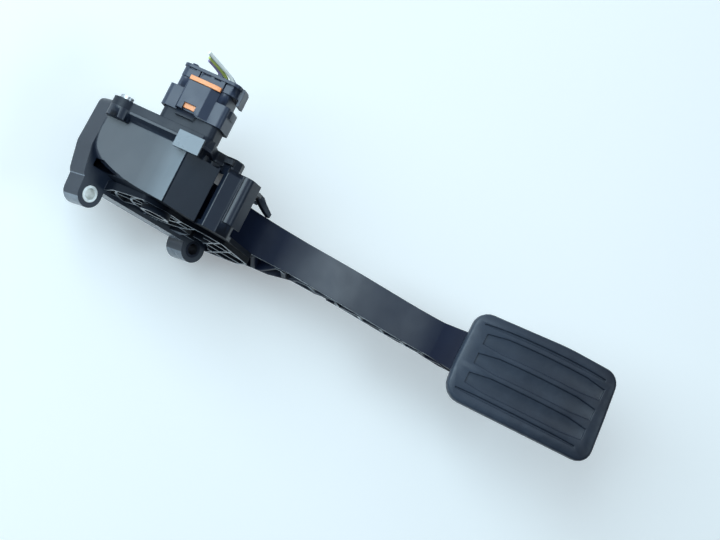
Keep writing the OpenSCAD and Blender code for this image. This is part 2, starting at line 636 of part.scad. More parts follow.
module pedal_pad() color([0.09, 0.10, 0.11]) in_pad_frame() difference() {
    hull() {
        translate([0, 0, 2]) linear_extrude(pad_t + plate_t - 2.5) polygon(pad_outline(0));
        translate([0, 0, 0.6]) linear_extrude(1) polygon(pad_outline(0.6));
        linear_extrude(1) polygon(pad_outline(2));
    }
    translate([0, 0, pad_t]) linear_extrude(plate_t + 3) polygon(pad_outline(2.5));
    for (k = [-1.5 : 0.5]) translate([0, 0, -1]) linear_extrude(1 + tread_depth)
        polygon(tread_strip(tread_mid(k) + tread_rib / 2, tread_mid(k + 1) - tread_rib / 2, 11, 92, 1.5));
    for (s = [-1, 1]) translate([0, 0, -1]) linear_extrude(1 + tread_depth) polygon(tread_strip(
        tread_mid(1.5 * s) + s * tread_rib / 2, tread_mid(1.5 * s) + s * (tread_rib / 2 + 1.5), 7, 90, 0.3
    ));
}
// Middle of the tread ribs at the upper end of the pad
function tread_mid(k) = -1.25 + tread_pitch * k;
// Sunk strip between two sideways places, bowed like the right edge of the pad
function tread_bow(x, y) = x + (2 + 0.06 * x) * (1 - pow((y - 66) / 56, 2));
function tread_strip(x0, x1, y0, y1, r) =
    let (n = 6, a = min(x0, x1), b = max(x0, x1)) concat(
        [for (i = [0 : n]) let (y = mix(y0, y1, i / n)) [tread_bow(b, y) - (i == 0 || i == n ? r : 0), y]],
        [for (i = [n : -1 : 0]) let (y = mix(y0, y1, i / n)) [tread_bow(a, y) + (i == 0 || i == n ? r : 0),
            y]]
    );

spring_y = pivot_y + 22;
seat_z = pivot_z + 7;
spring_top = 37;
module coil(r, wire_r, turns, z0, z1) sweep([
    for (i = [0 : 14 * turns]) [r * cos(360 * i / 14), spring_y + r * sin(360 * i / 14), mix(z0, z1,
        i / 14 / turns)]
], wire_r, 6);
module outer_spring() color([0.62, 0.62, 0.60]) coil(6.8, 0.9, 5, seat_z + 1.5, spring_top - 1.2);
module inner_spring() color([0.62, 0.62, 0.60]) coil(4.2, 0.7, 6, seat_z + 1.3, spring_top - 1);
module spring_cup() color([0.30, 0.30, 0.32]) translate([0, spring_y, spring_top]) {
    cylinder(h = 2, r = 7.6);
    translate([0, 0, -4]) cylinder(h = 4 + eps, r = 3);
}
module spring_seat() color([0.30, 0.30, 0.32]) translate([0, spring_y, seat_z - 2.6]) {
    cylinder(h = 2.8, r = 8.5);
    cylinder(h = 6, r = 3);
}
// Inner face of the hood wall at height z
function hood_inner(z) = let (t = (slot_low - 12.5 - z) / (slot_low - lip_z - 11.5)) mix(-hood_reach + 3,
    -lip_reach + 2.4, t);
module rest_bumper() color([0.15, 0.15, 0.15]) side_slab([
    [hood_inner(-34), -34], [hood_inner(-28), -28], [pivot_y - 2.4, -28], [pivot_y - 1.2, -34]
], -8, 4);
// Its sloping face meets the back of the arm at full travel
module stop_bumper() color([0.15, 0.15, 0.15]) side_slab([
    [pivot_y + 25.1, -26], [pivot_y + 22.1, -19], [-7, -19], [-7, -26]
], -8, 4);

module plug_body() color([0.13, 0.14, 0.15]) difference() {
    plug_shell();
    wire_bores(plug_end - wire_inside - 0.1, plug_end + 1);
}
module plug_shell() tilted() difference() {
    union() {
        side_slab(oblong(plug_d, plug_h, 3.5), plug_x, plug_x + plug_skirt);
        side_slab(oblong(plug_d - 1, plug_h - 7, 3), plug_x + plug_skirt - eps, plug_end);
        side_slab(latch_outline, plug_x + 0.5, plug_end - 1.4);
        // small tab on the low end
        block([plug_x + 8, -6, -plug_h / 2 - 1.2], [plug_x + 12.5, 4, -plug_h / 2 + 1]);
    }
    side_slab(oblong(plug_d - 2 * shell, plug_h - 2 * shell, 2.6), plug_x - 1, plug_x + plug_skirt - 1.5);
    // notch for the catch bar, window above it and slot for the lock's tongue
    block([plug_x - 1, -plug_d / 2 - 6, -3.2], [plug_x + 1.2, -plug_d / 2 + 3, 8.6]);
    block([plug_x - 1, -plug_d / 2 - 6, -2.4], [plug_x + 5.2, -plug_d / 2 - 0.2, 5]);
    block([plug_x + 2, -plug_d / 2 - 2.2, -4.3], [plug_end, -plug_d / 2 - 0.2, 5.3]);
}
latch_h = 3.4;
// Raised middle of the plug, with a bevelled side towards the low end
latch_outline = rounded([
    [-plug_d / 2 + 2, 9.5, 0], [-plug_d / 2 - latch_h, 9.1, 1], [-plug_d / 2 - latch_h, -5.5, 1.5],
    [-plug_d / 2 - 0.1, -10.5, 0.5], [-plug_d / 2 + 2, -10.5, 0]
], 4);
module plug_core() color([0.16, 0.17, 0.18]) tilted() difference() {
    side_slab(oblong(inner_d - 1, inner_h - 1, 2), cover_face + 1, plug_x + plug_skirt - 1.52);
    for (k = [0 : 5]) pin(k, 0.7, cover_face, cover_face + 14);
    block([cover_face + 7.9, inner_d / 2 - 2.7, -8.1], [cover_face + 13.1, inner_d / 2, 8.1]);
}
module plug_seal() color([0.75, 0.35, 0.18]) tilted() difference() {
    side_slab(oblong(inner_d - 0.1, inner_h - 0.1, 2.7), socket_end - 6, socket_end - 3);
    side_slab(oblong(inner_d - 0.98, inner_h - 0.98, 2), socket_end - 7, socket_end);
}
module plug_cap() color([0.12, 0.13, 0.14]) difference() {
    tilted() translate([0, 0, -1.3]) {
        side_slab(oblong(plug_d + 1, plug_h - 4, 4), plug_end, cap_end);
        side_slab(oblong(plug_d + 2.4, plug_h - 2.6, 4.5), cap_end - 1.8, cap_end);
        // hook that hangs down at the low end
        block([plug_end - 3, -5, -plug_h / 2 - 0.6], [cap_end - 1, 5, -plug_h / 2 + 1]);
        block([plug_end + 0.5, -5, -plug_h / 2], [cap_end, 5, 0]);
        // knobs on the lip
        for (z = [-6, 10]) block([cap_end - 1, -plug_d / 2 - 0.6, z], [cap_end + 0.9, -plug_d / 2 + 3,
            z + 3]);
    }
    // seams beside the middle panel and windows under the lip
    tilted() for (z = [4.6, -11.4]) block([plug_end - 1, -plug_d, z], [cap_end - 1.8, -plug_d / 2 + 0.2,
        z + 0.8]);
    tilted() for (z = [-16, -8, -1.5, 8]) block([cap_end - 2.7, -plug_d, z], [cap_end - 1.9,
        -plug_d / 2 + 0.6, z + 4.5]);
    wire_bores(plug_end - 1, cap_end + 2);
}
module wire_bores(x0, x1) for (w = wires) translate([x0, w[0][1], w[0][2]]) rotate([0, 90, 0])
    cylinder(h = x1 - x0, r = wire_d / 2 + 0.1, $fn = 24);
// Sliding lock: a bar in front of the cap, bent down at its low end, and a tongue under the latch
module orange_lock() color([0.93, 0.48, 0.20]) tilted() {
    side_slab([
        [-plug_d / 2 - 1.4, 8.6], [-plug_d / 2 - 4, 8.6], [-plug_d / 2 - 4, -6.4],
        [-plug_d / 2 - 2.8, -10.6], [-plug_d / 2 - 1.35, -10.8], [-plug_d / 2 - 1.4, -7]
    ], plug_end - 1.2, plug_end + 1.4);
    block([plug_x + 2.3, -plug_d / 2 - 2, -4], [plug_end - 1, -plug_d / 2 - 0.7, 5]);
}
module orange_retainer() color([0.93, 0.48, 0.20]) tilted() difference() {
    block([cover_face + 8, inner_d / 2 - 2.6, -8], [cover_face + 13, inner_d / 2 - 1.1, 8]);
    for (z = [-5, 0, 5]) block([cover_face + 7, 0, z - 0.5], [cover_face + 10, 20, z + 0.5]);
}

// Length of the wires inside the plug
wire_inside = 7.3;
// Steps of the wires from the cap face: along X, down the slope and out of the slope
wire_rise = [
    [-cap_length - wire_inside, 0, 0], [-4, 0, 0], [0, 0, 0], [1.5, -0.5, 0.8], [3, -2.5, 3.4],
    [4.2, -5.2, 7.3], [5.2, -8, 11.5], [6.2, -10.9, 15.8], [7.4, -14.4, 21]
];
function wire_path(u, n, lean, last) = [
    for (i = [0 : last]) let (
        r = wire_rise[i],
        q = slope_point(u + r[1] * (1 + lean / 8), n + r[2] * (1 - lean / 16))
    ) [cap_end + r[0], q[0], q[1]]
];
wires = [
    wire_path(38, 47, 0, 8), wire_path(37.5, 50.5, -0.6, 8), wire_path(33.5, 49, -0.4, 7),
    wire_path(30.5, 50.5, -0.2, 6)
];
module wire(k) sweep(curve(wires[k], 2), wire_d / 2, 8);
module grey_wire() color([0.62, 0.64, 0.66]) wire(0);
module white_wire() color([0.90, 0.90, 0.88]) wire(1);
module green_wire() color([0.72, 0.78, 0.30]) wire(2);
module violet_wire() color([0.55, 0.48, 0.66]) wire(3);

housing();
upper_bush();
lower_bush();
side_bush();
sensor_cover();
cover_seal();
cover_screws();
circuit_board();
terminal_pins();
pivot_axle();
axle_clip();
sensor_magnet();
pedal_arm();
pedal_pad();
outer_spring();
inner_spring();
spring_cup();
spring_seat();
rest_bumper();
stop_bumper();
plug_body();
plug_core();
plug_seal();
plug_cap();
orange_lock();
orange_retainer();
grey_wire();
white_wire();
green_wire();
violet_wire();
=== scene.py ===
# %% [markdown]
# # A hanging accelerator pedal, dressed for a product photograph
# The pedal hangs from a flanged housing, and a harness is plugged into its side. The
# solid parts come from the CAD model and already sit where they belong. This lesson
# adds what they lack: small rounds, wires, finishes, a plain table and soft light.
# Everything is in metres, and a size in millimetres is written times MM.

# %% Load the solid parts
import json
import math

import bpy
from mathutils import Matrix, Vector


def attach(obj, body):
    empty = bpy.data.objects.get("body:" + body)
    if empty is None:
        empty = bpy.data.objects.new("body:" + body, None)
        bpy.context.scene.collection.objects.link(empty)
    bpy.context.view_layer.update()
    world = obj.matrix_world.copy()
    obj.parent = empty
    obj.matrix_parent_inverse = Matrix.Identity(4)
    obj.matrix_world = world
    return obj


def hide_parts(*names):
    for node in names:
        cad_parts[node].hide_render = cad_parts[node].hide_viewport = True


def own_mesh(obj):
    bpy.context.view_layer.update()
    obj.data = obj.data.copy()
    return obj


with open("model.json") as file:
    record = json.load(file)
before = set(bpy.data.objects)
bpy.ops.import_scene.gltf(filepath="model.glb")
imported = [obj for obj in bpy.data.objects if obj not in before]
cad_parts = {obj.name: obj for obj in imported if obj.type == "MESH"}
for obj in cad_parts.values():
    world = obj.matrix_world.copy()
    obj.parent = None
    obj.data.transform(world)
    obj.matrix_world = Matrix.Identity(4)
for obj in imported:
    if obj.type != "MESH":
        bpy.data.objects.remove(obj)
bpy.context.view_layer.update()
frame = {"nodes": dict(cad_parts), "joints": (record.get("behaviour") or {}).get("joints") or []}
MM = 0.001
print("solid parts:", len(frame["nodes"]))

# %% [markdown]
# The camera is set first, because every later choice is judged through it. The
# photograph was taken from well back with a long lens, so the lens is long here too.
# A camera can be aimed at a target, but this picture is also turned about the line of
# sight. So its own three directions are given: its right, its up and the way back.

# %% Camera
RIGHT = Vector((0.44234, -0.57927, -0.68467))
UP = Vector((0.88847, 0.17893, 0.42263))
BACK = Vector((-0.12231, -0.79525, 0.59381))
EYE = Vector((-0.16703, -1.20008, 0.72615))
LENS_MM = 120
SENSOR_MM = 36
FAR_CLIP = 20

camera_data = bpy.data.cameras.new("camera")
camera = bpy.data.objects.new("camera", camera_data)
bpy.context.scene.collection.objects.link(camera)
camera_data.lens = LENS_MM
camera_data.sensor_width = SENSOR_MM
camera_data.clip_end = FAR_CLIP
camera.matrix_world = Matrix.Translation(EYE) @ Matrix((RIGHT, UP, BACK)).transposed().to_4x4()
bpy.context.scene.camera = camera
print("the camera stands", round(EYE.length, 3), "m from the origin")

# %% [markdown]
# Four wires leave the rear cap of the plug, turn up within a few of their own widths
# and end where they were cut. A wire is a line with a thickness. It could be extruded
# ring by ring, but a curve with a round bevel gives the same tube from its points
# alone. The points are those of the solid wires, in millimetres, and a smooth curve
# through them gives each step one more point in its middle.

# %% Routes of the wires
WIRE_ROUTES = {
    "grey_wire": [(45.2, -59.32, 11.58), (56, -59.32, 11.58), (60, -59.32, 11.58), (61.5, -59.45, 12.51),
                  (63, -59.59, 15.79), (64.2, -60.03, 20.51), (65.2, -60.58, 25.53), (66.2, -61.13, 30.69),
                  (67.4, -61.79, 36.92)],
    "white_wire": [(45.2, -61.19, 14.58), (56, -61.19, 14.58), (60, -61.19, 14.58), (61.5, -61.37, 15.51),
                   (63, -61.68, 18.77), (64.2, -62.37, 23.47), (65.2, -63.19, 28.48), (66.2, -64, 33.62),
                   (67.4, -64.99, 39.83)],
    "green_wire": [(45.2, -57.16, 16), (56, -57.16, 16), (60, -57.16, 16), (61.5, -57.32, 16.94),
                   (63, -57.58, 20.2), (64.2, -58.18, 24.91), (65.2, -58.91, 29.92), (66.2, -59.64, 35.06)],
    "violet_wire": [(45.2, -55.83, 19.08), (56, -55.83, 19.08), (60, -55.83, 19.08), (61.5, -55.97, 20.01),
                    (63, -56.17, 23.28), (64.2, -56.69, 28), (65.2, -57.33, 33.01)],
}


def smooth_route(points):
    """The points in metres, with one more halfway along each step of a smooth curve through them."""
    route = []
    last = len(points) - 1
    for i in range(last):
        before, start = Vector(points[max(i - 1, 0)]), Vector(points[i])
        end, after = Vector(points[i + 1]), Vector(points[min(i + 2, last)])
        slope = end - before
        bend = 2 * before - 5 * start + 4 * end - after
        turn = 3 * start - 3 * end + after - before
        for t in (0, 0.5):
            route.append(0.5 * (2 * start + slope * t + bend * t * t + turn * t * t * t))
    return [p * MM for p in route + [Vector(points[last])]]


for name, points in WIRE_ROUTES.items():
    print(name, "follows", len(smooth_route(points)), "points")

# %% [markdown]
# Each curve is then turned into a mesh, like every other piece, and its shading is
# smoothed round the wire but not over its cut ends.

# %% Wires of the harness
WIRE_RADIUS = 0.95 * MM
WIRE_ROUNDNESS = 5
WIRE_SMOOTH_BELOW = 50


def only(piece):
    """Makes one object the only selected and active one."""
    bpy.ops.object.select_all(action="DESELECT")
    piece.select_set(True)
    bpy.context.view_layer.objects.active = piece


def smooth_shading(piece, below):
    """Smooths the shading over the edges that turn by less than this many degrees."""
    only(piece)
    bpy.ops.object.shade_smooth_by_angle(angle=math.radians(below))


def make_wire(name, points):
    """A round wire along a route, which rides on the housing and stands for the solid wire."""
    route = smooth_route(points)
    line = bpy.data.curves.new(name + "_line", "CURVE")
    line.dimensions = "3D"
    line.bevel_depth = WIRE_RADIUS
    line.bevel_resolution = WIRE_ROUNDNESS
    line.use_fill_caps = True
    spline = line.splines.new("POLY")
    spline.points.add(len(route) - 1)
    for point, place in zip(spline.points, route):
        point.co = (*place, 1)
    piece = bpy.data.objects.new(name + "_insulation", line)
    bpy.context.scene.collection.objects.link(piece)
    only(piece)
    bpy.ops.object.convert(target="MESH")
    smooth_shading(piece, WIRE_SMOOTH_BELOW)
    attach(piece, "base")
    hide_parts(name)
    return piece


wires = {name: make_wire(name, points) for name, points in WIRE_ROUTES.items()}

# %% [markdown]
# A solid comes as loose triangles, with its points doubled. Before it can be rounded
# or shaded well, a copy of it is merged, and its flat faces are made whole. It could
# be modelled again by hand, but then it might no longer fit its neighbours.

# %% Clean copies of the solids
FINE_MERGE = 0.004 * MM
COARSE_MERGE = 0.02 * MM
FLAT_BELOW = math.radians(0.6)


def clean_copy(node, body, merge):
    """A copy of a solid with its doubled points merged and its flat faces made whole."""
    source = frame["nodes"][node]
    piece = source.copy()
    piece.data = source.data.copy()
    piece.name = node + "_rounded"
    piece.parent = None
    piece.matrix_world = Matrix.Identity(4)
    bpy.context.scene.collection.objects.link(piece)
    only(piece)
    bpy.ops.object.mode_set(mode="EDIT")
    bpy.ops.mesh.select_all(action="SELECT")
    bpy.ops.mesh.remove_doubles(threshold=merge)
    bpy.ops.mesh.dissolve_limited(angle_limit=FLAT_BELOW)
    bpy.ops.object.mode_set(mode="OBJECT")
    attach(piece, body)
    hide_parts(node)
    print(node, "is cleaned to", len(piece.data.polygons), "faces")
    return piece


# %% [markdown]
# Moulded parts have no sharp corners, and their small rounds catch the light as thin
# bright lines. A bevel modifier makes true rounds, and the rubber pad and the orange
# lock get one. On shapes full of thin ribs such rounds easily cross, so those keep
# their edges, and most of their materials round the shading there instead.

# %% Rounds and even shading
BODY_OF = {
    "housing": "base", "sensor_cover": "base", "plug_body": "base", "plug_cap": "base",
    "pedal_arm": "pedal", "pedal_pad": "pedal", "orange_lock": "lock", "cover_screws": "base",
}
BEVEL_WIDTH = {"pedal_pad": 0.45 * MM, "orange_lock": 0.2 * MM}
CURVED_ALL_OVER = ("pedal_arm", "pedal_pad")
BEVEL_SEGMENTS = 2
BEVEL_ABOVE = math.radians(32)
SMOOTH_BELOW = 42
FLAT_FACE_WEIGHT = 90


def bevelled(piece, width):
    bevel = piece.modifiers.new("bevel", "BEVEL")
    bevel.width = width
    bevel.segments = BEVEL_SEGMENTS
    bevel.limit_method = "ANGLE"
    bevel.angle_limit = BEVEL_ABOVE
    bevel.use_clamp_overlap = False
    bevel.miter_outer = "MITER_SHARP"
    only(piece)
    bpy.ops.object.modifier_apply(modifier="bevel")


def keep_flat_faces_flat(piece):
    """Turns the shading of each corner to that of the larger faces around it."""
    weights = piece.modifiers.new("weights", "WEIGHTED_NORMAL")
    weights.mode = "FACE_AREA"
    weights.weight = FLAT_FACE_WEIGHT
    weights.keep_sharp = True
    only(piece)
    bpy.ops.object.modifier_apply(modifier="weights")


rounded = {}
for node, body in BODY_OF.items():
    width = BEVEL_WIDTH.get(node)
    rounded[node] = clean_copy(node, body, FINE_MERGE if width else COARSE_MERGE)
    if width:
        bevelled(rounded[node], width)
        print(node, "has", len(rounded[node].data.polygons), "faces with its rounds")
    smooth_shading(rounded[node], SMOOTH_BELOW)
    if node not in CURVED_ALL_OVER:
        keep_flat_faces_flat(rounded[node])

# %% [markdown]
# The two springs stand between a cup in the housing and a seat on the pedal. When the pedal is pressed, the
# seat comes up and they get shorter. A solid can't follow that. Here each spring only gets a clean copy with
# smooth shading and a mesh of its own.

for node in ("outer_spring", "inner_spring"):
    rounded[node] = clean_copy(node, "base", FINE_MERGE)
    smooth_shading(rounded[node], SMOOTH_BELOW)
    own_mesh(rounded[node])

# %% [markdown]
# Every finish here is one shader whose colour, roughness and small bump follow noise,
# so that no face looks painted. Images could do the same, but each piece would have to
# be unwrapped for them. Noise reads the place on the object and fits any shape. These
# helpers make the nodes that the finishes share.

# %% Nodes that the finishes share
NOISE_LOW = 0.3
NOISE_HIGH = 0.7
EDGE_SAMPLES = 6


def new_material(name):
    """A bare material, its nodes, its shader, and the place on the object that its patterns read."""
    made = bpy.data.materials.new(name)
    made.use_nodes = True
    tree = made.node_tree
    tree.nodes.clear()
    out = tree.nodes.new("ShaderNodeOutputMaterial")
    shader = tree.nodes.new("ShaderNodeBsdfPrincipled")
    coordinates = tree.nodes.new("ShaderNodeTexCoord")
    tree.links.new(shader.outputs["BSDF"], out.inputs["Surface"])
    print("finish:", name)
    return made, tree, shader, coordinates.outputs["Object"]


def noise(tree, place, scale, detail, rough=0.5):
    node = tree.nodes.new("ShaderNodeTexNoise")
    node.inputs["Scale"].default_value = scale
    node.inputs["Detail"].default_value = detail
    node.inputs["Roughness"].default_value = rough
    tree.links.new(place, node.inputs["Vector"])
    return node.outputs["Fac"]


def spread(tree, value, low, high, from_low=NOISE_LOW, from_high=NOISE_HIGH):
    """Stretches a value to the range from low to high. Most of a noise lies between the two defaults."""
    node = tree.nodes.new("ShaderNodeMapRange")
    node.inputs["From Min"].default_value = from_low
    node.inputs["From Max"].default_value = from_high
    node.inputs["To Min"].default_value = low
    node.inputs["To Max"].default_value = high
    tree.links.new(value, node.inputs["Value"])
    return node.outputs["Result"]


def patches(tree, place, scale, detail, low=0, high=1, rough=0.5):
    """A value that wanders between low and high over the surface."""
    return spread(tree, noise(tree, place, scale, detail, rough), low, high)


def blend_colour(tree, value, low, high):
    """The first colour where the value is 0 and the second where it is 1."""
    node = tree.nodes.new("ShaderNodeMix")
    node.data_type = "RGBA"
    node.inputs["A"].default_value = (*low, 1)
    node.inputs["B"].default_value = (*high, 1)
    tree.links.new(value, node.inputs["Factor"])
    return node.outputs["Result"]


def edge_round(tree, radius):
    """Shades the edges as if they had a small round."""
    node = tree.nodes.new("ShaderNodeBevel")
    node.samples = EDGE_SAMPLES
    node.inputs["Radius"].default_value = radius
    return node.outputs["Normal"]


def bump(tree, height, strength, depth, normal=None):
    node = tree.nodes.new("ShaderNodeBump")
    if normal:
        tree.links.new(normal, node.inputs["Normal"])
    node.inputs["Strength"].default_value = strength
    node.inputs["Distance"].default_value = depth
    tree.links.new(height, node.inputs["Height"])
    return node.outputs["Normal"]


def along(tree, place, direction, stops):
    """A value that follows stops of (place in mm, value) along a direction of the part."""
    dot = tree.nodes.new("ShaderNodeVectorMath")
    dot.operation = "DOT_PRODUCT"
    dot.inputs[1].default_value = direction
    tree.links.new(place, dot.inputs[0])
    first, last = stops[0][0], stops[-1][0]
    ramp = tree.nodes.new("ShaderNodeValToRGB")
    while len(ramp.color_ramp.elements) < len(stops):
        ramp.color_ramp.elements.new(0.5)
    for element, (where, value) in zip(ramp.color_ramp.elements, stops):
        element.position = (where - first) / (last - first)
        element.color = (value, value, value, 1)
    tree.links.new(spread(tree, dot.outputs["Value"], 0, 1, first * MM, last * MM), ramp.inputs["Fac"])
    return ramp.outputs["Color"]


# %% [markdown]
# Glass-filled plastic from a spark-eroded mould is nearly black, with a satin face made of a very fine grain.
# The grain is a small bump, and a slow change in the roughness keeps the wide faces from looking painted. A
# painted sheen makes some places paler, and the arm reflects most near its middle. Two ramps along the part
# bring that in.

# %% Moulded plastic
GRAIN_STRENGTH = 0.3
GRAIN_DEPTH = 0.03 * MM
SHEEN_COLOUR = (0.135, 0.165, 0.195)


def painted_sheen_over(tree, colour, share):
    """Goes from a colour to a paler one, a painted sheen, as far as the share says."""
    node = tree.nodes.new("ShaderNodeMix")
    node.data_type = "RGBA"
    node.inputs["B"].default_value = (*SHEEN_COLOUR, 1)
    tree.links.new(colour, node.inputs["A"])
    tree.links.new(share, node.inputs["Factor"])
    return node.outputs["Result"]


def moulded_plastic(name, colours, rough, uneven=0.05, grain=1500, patch=28, edge=0.4 * MM, specular=0.5,
                    shine=None, painted_sheen=None):
    """Grain and patch are the scales of the two noises, and edge is the round at the edges.
    Shine and the painted sheen are each a direction and stops for along(): the strength of the reflection in
    place of specular, and how far the colour goes over to a paler one, a painted sheen."""
    made, tree, shader, place = new_material(name)
    colour = blend_colour(tree, patches(tree, place, scale=patch, detail=4, rough=0.6), *colours)
    if painted_sheen:
        colour = painted_sheen_over(tree, colour, along(tree, place, *painted_sheen))
    tree.links.new(colour, shader.inputs["Base Color"])
    shader.inputs["Specular IOR Level"].default_value = specular
    if shine:
        tree.links.new(along(tree, place, *shine), shader.inputs["Specular IOR Level"])
    worn = patches(tree, place, scale=patch * 3, detail=5, low=rough - uneven, high=rough + uneven)
    tree.links.new(worn, shader.inputs["Roughness"])
    edges = edge_round(tree, edge) if edge else None
    fine = noise(tree, place, scale=grain, detail=2, rough=0.7)
    tree.links.new(bump(tree, fine, GRAIN_STRENGTH, GRAIN_DEPTH, edges), shader.inputs["Normal"])
    return made


# %% [markdown]
# The nose of the housing slopes at 50 degrees, and a painted sheen on its front grows paler down that slope.
# The mouldings differ in colour and gloss, so each gets a finish of its own, from a darkest and a lightest
# colour and a roughness. Some of these colours are painted light: shade on the walls between the ribs, and
# highlights on the rib edges, the arm edges and the snap tab.

# %% Plastics of the pedal
NOSE_SLOPE = math.radians(50)
DOWN_THE_NOSE = Vector((0, -math.sin(NOSE_SLOPE), -math.cos(NOSE_SLOPE)))
UPWARD = Vector((0, 0, 1))
# Stops of the painted sheen on the front of the nose, paler down the slope.
PAINTED_SHEEN_STOPS = [(-10, 0), (12, 0.06), (20, 0.3), (26, 0.75), (32, 0.9)]
ARM_SHINE = [(-200, 0.3), (-150, 0.7), (-113, 1.0), (-98, 0.65), (-80, 0.12), (-50, 0.05)]
FINE_EDGE = 0.15 * MM
HOUSING_BLACK = ((0.009, 0.014, 0.028), (0.014, 0.022, 0.038))
ARM_BLACK = ((0.006, 0.010, 0.028), (0.010, 0.017, 0.040))
# Painted shade: the walls deep between the ribs are darker than the housing and reflect less.
POCKET_SHADE_BLACK = ((0.003, 0.005, 0.010), (0.006, 0.009, 0.016))
COVER_BLACK = ((0.006, 0.010, 0.020), (0.010, 0.016, 0.030))
PLUG_BLACK = ((0.022, 0.032, 0.060), (0.032, 0.044, 0.076))
# Painted glint: the edges of the ribs are paler than the housing.
RIB_GLINT_GREY = ((0.10, 0.12, 0.15), (0.20, 0.23, 0.27))
# Painted glint: the edges of the arm go from dark to nearly white in dashes.
GLINT_GREY = ((0.05, 0.06, 0.07), (0.62, 0.68, 0.74))
# Painted highlight: the top of the snap tab is paler than the cover.
TAB_HIGHLIGHT_GREY = ((0.12, 0.155, 0.19), (0.17, 0.205, 0.24))
NATURAL_GREY = ((0.28, 0.28, 0.30), (0.33, 0.33, 0.34))
LOCK_ORANGE = ((0.84, 0.28, 0.085), (0.92, 0.37, 0.14))
MAGNET_GREY = ((0.10, 0.10, 0.11), (0.14, 0.14, 0.15))
BOARD_GREEN = ((0.02, 0.11, 0.045), (0.03, 0.15, 0.06))

HOUSING = moulded_plastic("satin_housing_plastic", HOUSING_BLACK, 0.36, uneven=0.02)
HOOD = moulded_plastic("painted_sheen_hood_plastic", HOUSING_BLACK, 0.35, uneven=0.02,
                       painted_sheen=(DOWN_THE_NOSE, PAINTED_SHEEN_STOPS))
ARM = moulded_plastic("satin_arm_plastic", ARM_BLACK, 0.34, uneven=0.03, shine=(UPWARD, ARM_SHINE))
POCKET = moulded_plastic("unlit_rib_walls", POCKET_SHADE_BLACK, 0.5, specular=0.12)
COVER = moulded_plastic("cover_plastic", COVER_BLACK, 0.5, specular=0.38)
PLUG = moulded_plastic("plug_plastic", PLUG_BLACK, 0.40, grain=1100)
RIB_EDGE = moulded_plastic("painted_glint_rib_edges", RIB_GLINT_GREY, 0.26, edge=FINE_EDGE)
GLINT_EDGE = moulded_plastic("painted_glint_arm_edges", GLINT_GREY, 0.24, patch=90, edge=0)
TAB = moulded_plastic("painted_highlight_tab_plastic", TAB_HIGHLIGHT_GREY, 0.26)
PALE = moulded_plastic("natural_plastic", NATURAL_GREY, 0.45, edge=0)
ORANGE = moulded_plastic("orange_lock_plastic", LOCK_ORANGE, 0.34, grain=700, patch=90, edge=0)
MAGNET = moulded_plastic("bonded_magnet", MAGNET_GREY, 0.5, edge=0)
BOARD = moulded_plastic("laminate", BOARD_GREEN, 0.3, edge=0)

# %% [markdown]
# Rubber is duller than the plastic and shows pale rubbed dust. Its bump is coarser than the grain of the
# plastic. On the pad the colour is also painted paler towards the top, as painted light, so the height on the
# part is added to the noise that spreads the dust.

# %% Rubber
WEAR_LOW = 0.42
WEAR_HIGH = 0.72
WEAR_SHARE = 0.3
RUBBER_SMOOTHER = 0.06
RUBBER_ROUGHER = 0.08
RUBBER_BUMP = 0.4
RUBBER_DEPTH = 0.05 * MM
PAD_PAINTED_LIGHT_Z = (-300 * MM, -195 * MM)
PAD_BLACK = ((0.006, 0.009, 0.018), (0.040, 0.054, 0.080))
SEAL_BLACK = ((0.03, 0.035, 0.045), (0.04, 0.048, 0.06))
SEAL_ORANGE = ((0.52, 0.10, 0.03), (0.6, 0.14, 0.05))
BUMPER_BLACK = ((0.02, 0.02, 0.022), (0.03, 0.03, 0.032))


def more_towards_the_top(tree, place, wear, painted_light_z):
    """Adds a share of the wear to a value that grows from 0 to 1 between two heights, which paints light
    paler towards the top.
    """
    height = tree.nodes.new("ShaderNodeSeparateXYZ")
    tree.links.new(place, height.inputs["Vector"])
    both = tree.nodes.new("ShaderNodeMath")
    both.operation = "MULTIPLY_ADD"
    both.use_clamp = True
    tree.links.new(wear, both.inputs[0])
    both.inputs[1].default_value = WEAR_SHARE
    tree.links.new(spread(tree, height.outputs["Z"], 0, 1, *painted_light_z), both.inputs[2])
    return both.outputs["Value"]


def moulded_rubber(name, colours, rough, specular=0.5, painted_light_z=None):
    made, tree, shader, place = new_material(name)
    wear = spread(tree, noise(tree, place, scale=45, detail=8, rough=0.7), 0, 1, WEAR_LOW, WEAR_HIGH)
    # On the pad a height ramp paints the colour paler towards the top, as painted light.
    if painted_light_z:
        wear = more_towards_the_top(tree, place, wear, painted_light_z)
    tree.links.new(blend_colour(tree, wear, *colours), shader.inputs["Base Color"])
    matt = patches(tree, place, scale=300, detail=4, low=rough - RUBBER_SMOOTHER, high=rough + RUBBER_ROUGHER)
    tree.links.new(matt, shader.inputs["Roughness"])
    shader.inputs["Specular IOR Level"].default_value = specular
    skin = bump(tree, noise(tree, place, scale=900, detail=3, rough=0.7), RUBBER_BUMP, RUBBER_DEPTH)
    tree.links.new(skin, shader.inputs["Normal"])
    return made


PAD = moulded_rubber("pad_rubber", PAD_BLACK, 0.42, specular=0.4, painted_light_z=PAD_PAINTED_LIGHT_Z)
SEAL = moulded_rubber("seal_rubber", SEAL_BLACK, 0.5)
RUST_SEAL = moulded_rubber("orange_seal_rubber", SEAL_ORANGE, 0.5)
BUMPER = moulded_rubber("bumper_rubber", BUMPER_BLACK, 0.6)

# %% [markdown]
# The bushes, screws, springs and axle are steel, and the terminal pins are tinned
# brass. Such faces show fine marks and a few duller spots. The marks could be drawn as
# rings round each axis, but at this distance two noises of different size look much
# the same: one for the colour, and a finer one for the roughness and the bump.

# %% Metals
SPOT_SCALE = 120
MARK_SCALE = 600
DULL_SHARE = 0.82
METAL_SMOOTHER = 0.07
METAL_ROUGHER = 0.1
MARK_STRENGTH = 0.2
MARK_DEPTH = 0.02 * MM


